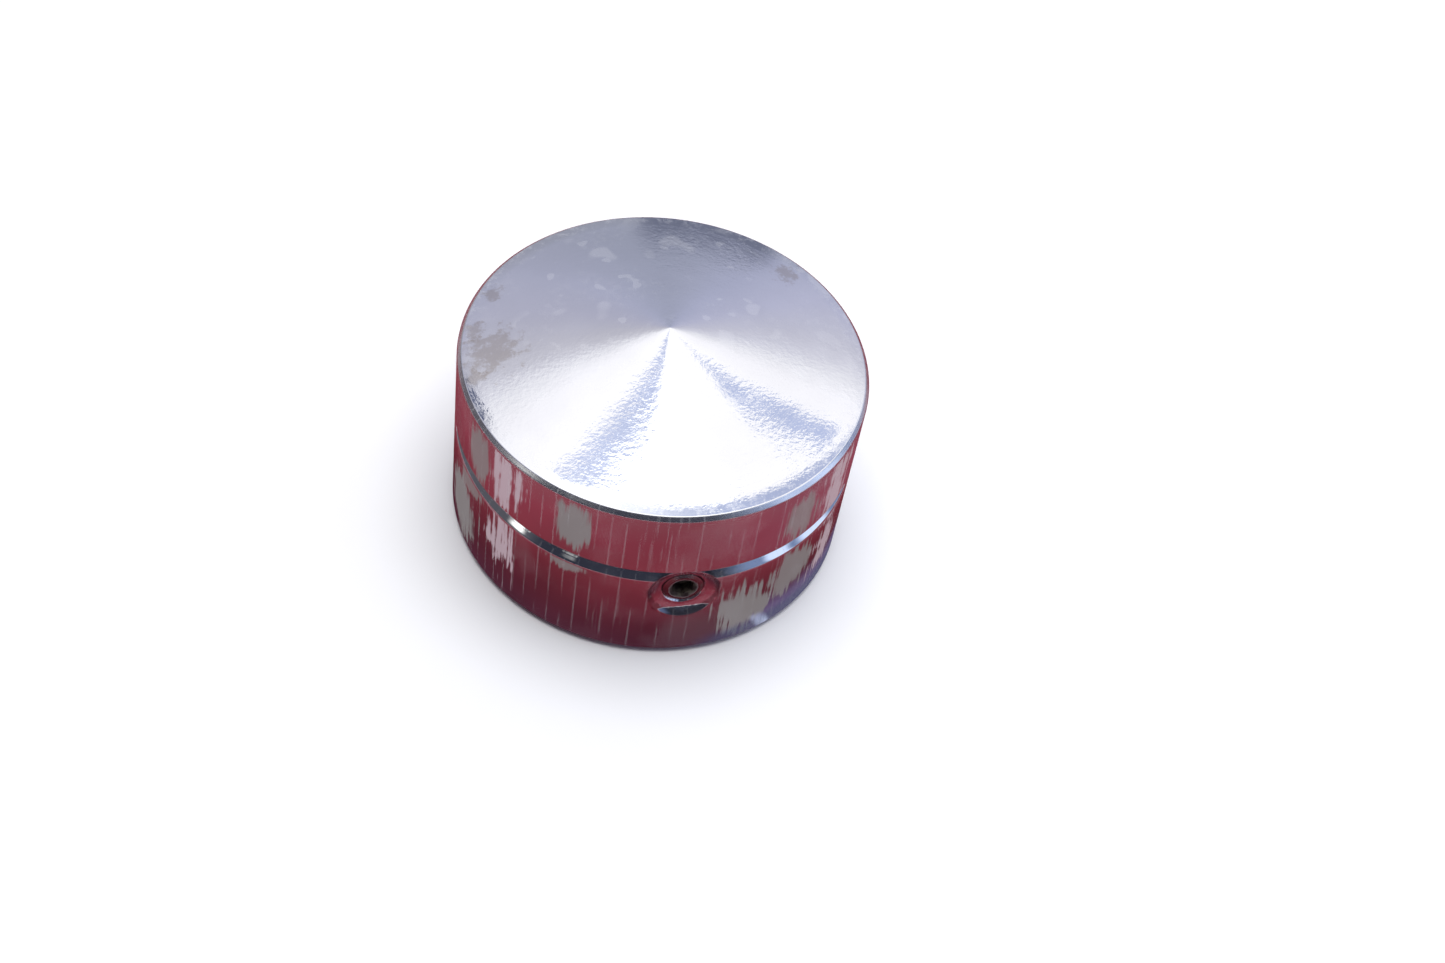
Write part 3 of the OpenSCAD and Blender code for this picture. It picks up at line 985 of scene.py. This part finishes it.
def red_by_height(n, height, shade):
    """The cloth's red, by the height on the wall that mirrors it, darker low down with a painted shadow of
    the case, and a little deeper in places.
    """
    red = n.ramp(n.math("DIVIDE", height, REDS_SPAN, clamp=True), SHADED_REDS)
    deep = n.mix(0.30, red, (0.4, 0.4, 0.4), "MULTIPLY")
    return n.mix(n.range(shade, 0.35, 0.7), red, deep)


def plain_cloth(n):
    """The cloth all round the case, darker next to it with a painted shadow of the case, fading into the
    pale floor far out.
    """
    place = place_in_mm(n)
    r, _, _ = round_the_axis(n, place)
    # painted shadow: the red is darkest next to the case
    height = n.times(n.minus(r, CASE_R), 1.15)
    red = red_by_height(n, height, n.noise(place, 0.09, 3.0))
    return n.mix(n.range(r, 240.0, 420.0), red, FAR_FLOOR)


def laid_cloth(n):
    """The cloth with the grey things on it, painted by wall angle (degrees) and wall height (mm), with
    painted light and shade at the case's foot.
    """
    u, v, _ = n.split(n.add("ShaderNodeUVMap", uv_map="wall").outputs[0])
    angle = n.times(n.minus(u, 1.0), WALL_U_SPAN)
    height = n.times(v, WALL_V_SPAN)
    shade = n.noise(n.join(n.times(angle, 0.03), n.times(height, 0.10)), 1.0, 3.0)
    shown = red_by_height(n, height, shade)
    right = n.times(n.range(angle, -75.0, -40.0), n.range(height, 10.0, 14.0))
    shown = n.mix(n.times(right, 0.35), shown, RIGHT_PINK)
    # painted light: the cloth lit bluish near the case's foot on the right
    violet = n.times(n.range(angle, -62.0, -46.0), n.range(height, 6.5, 2.5))
    shown = n.mix(n.times(violet, 0.8), shown, FOOT_BLUE_LIGHT)

    tear = wall_noise(n, angle, height, 0.8, 0.08, 3.0, 3.0, 0.7)
    soft = wall_noise(n, angle, height, 0.10, 0.35, 8.0, 2.0, 0.5)
    ragged = n.minus(n.plus(n.times(tear, 1.3), n.times(soft, 0.7)), 1.0)
    grey = patches(n, GREY_PATCHES, angle, height, ragged, 1.7)
    shown = n.mix(grey, shown, GREY_THING)
    pale = patches(n, PALE_PATCHES, angle, height, ragged, 4.5)
    shown = n.mix(pale, shown, PALE_THING)

    # painted shade and bluish light: a dark navy band along the case's foot on the right
    navy = n.range(n.plus(angle, n.times(height, -3.2)), -78.0, -64.0)
    navy = n.times(navy, n.range(height, 3.2, 1.6))
    shown = n.mix(n.times(navy, 0.75), shown, FOOT_BLUE_SHADE)
    slanted = n.plus(angle, n.times(height, 1.5))
    glint = block(n, slanted, (-47.0, 0.6, 2.6), height, (1.6, 0.6, 1.4))
    glint = n.times(glint, n.range(tear, 0.35, 0.6, 0.35, 1.0))
    return n.mix(glint, shown, FOOT_GLINT)


def patches(n, rows, angle, height, ragged, rough):
    """Where any of the rows' torn patches covers the cloth."""
    cover = 0.0
    for middle, level, wide, tall, strength in rows:
        across = n.math("DIVIDE", n.minus(angle, middle), wide)
        along = n.math("DIVIDE", n.minus(height, level), tall)
        out_by = n.plus(n.hypot(across, along), n.times(ragged, rough))
        patch = n.times(n.range(out_by, 0.85, 1.15, 1.0, 0.0), strength)
        cover = n.larger(cover, patch)
    return cover


def make_plain_cloth():
    """A red disc that only the polished metal sees."""
    reach, sides = 430.0, 96
    rim = [2 * math.pi * k / sides for k in range(sides)]
    corners = [(reach * math.cos(a), reach * math.sin(a), CLOTH_LIFT) for a in rim]
    cloth = mesh_object("cloth_reflector", corners, [tuple(range(sides))])
    paint(cloth, glowing("cloth_glow", plain_cloth))
    only_in_reflections(cloth)


def make_laid_cloth():
    """The part of the cloth that the camera sees in the wall, as a grid of mirrored places."""
    columns, rows = 100, 25
    first, sweep = -200.0, 220.0
    above_foot = 0.001
    verts, faces, uvs = [], [], []
    for j in range(rows + 1):
        height = WALL_V_SPAN * j / rows + above_foot
        for k in range(columns + 1):
            angle = math.radians(first + sweep * k / columns)
            spot = mirrored_place(angle + VIEW_AZ, height)
            verts.append((spot.x, spot.y, 2 * CLOTH_LIFT))
            uvs.append((1.0 + math.degrees(angle) / WALL_U_SPAN, height / WALL_V_SPAN))
    for j in range(rows):
        for k in range(columns):
            low = j * (columns + 1) + k
            high = low + columns + 1
            faces.append((low, high, high + 1, low + 1))
    laid = mesh_object("laid_cloth_reflector", verts, faces)
    layer = laid.data.uv_layers.new(name="wall")
    for loop in laid.data.loops:
        layer.data[loop.index].uv = uvs[loop.vertex_index]
    paint(laid, glowing("laid_cloth_glow", laid_cloth))
    only_in_reflections(laid)


def camera_back():
    """The direction from the case back to the camera."""
    level = math.cos(VIEW_EL)
    return Vector((math.sin(VIEW_AZ) * level, -math.cos(VIEW_AZ) * level, math.sin(VIEW_EL)))


def camera_place():
    return Vector((0, 0, RIM_Z + RIM_CHAMFER)) + camera_back() * VIEW_DISTANCE


def make_camera():
    data = bpy.data.cameras.new("camera")
    data.lens = VIEW_LENS
    data.sensor_width = 36.0
    data.clip_start, data.clip_end = 0.005, 20.0
    camera = bpy.data.objects.new("camera", data)
    bpy.context.scene.collection.objects.link(camera)
    camera.location = camera_place() * MM
    look = (-camera_back()).to_track_quat("-Z", "Y")
    roll = Quaternion((0, 0, 1), VIEW_ROLL)
    pan = RIM_OFF_AXIS.rotation_difference(Vector((0, 0, -1)))
    camera.rotation_mode = "QUATERNION"
    camera.rotation_quaternion = look @ roll @ pan
    bpy.context.scene.camera = camera


make_world()
make_fill_light()
make_floor()
make_plain_cloth()
make_laid_cloth()
make_camera()
bpy.context.scene.view_settings.view_transform = "Standard"
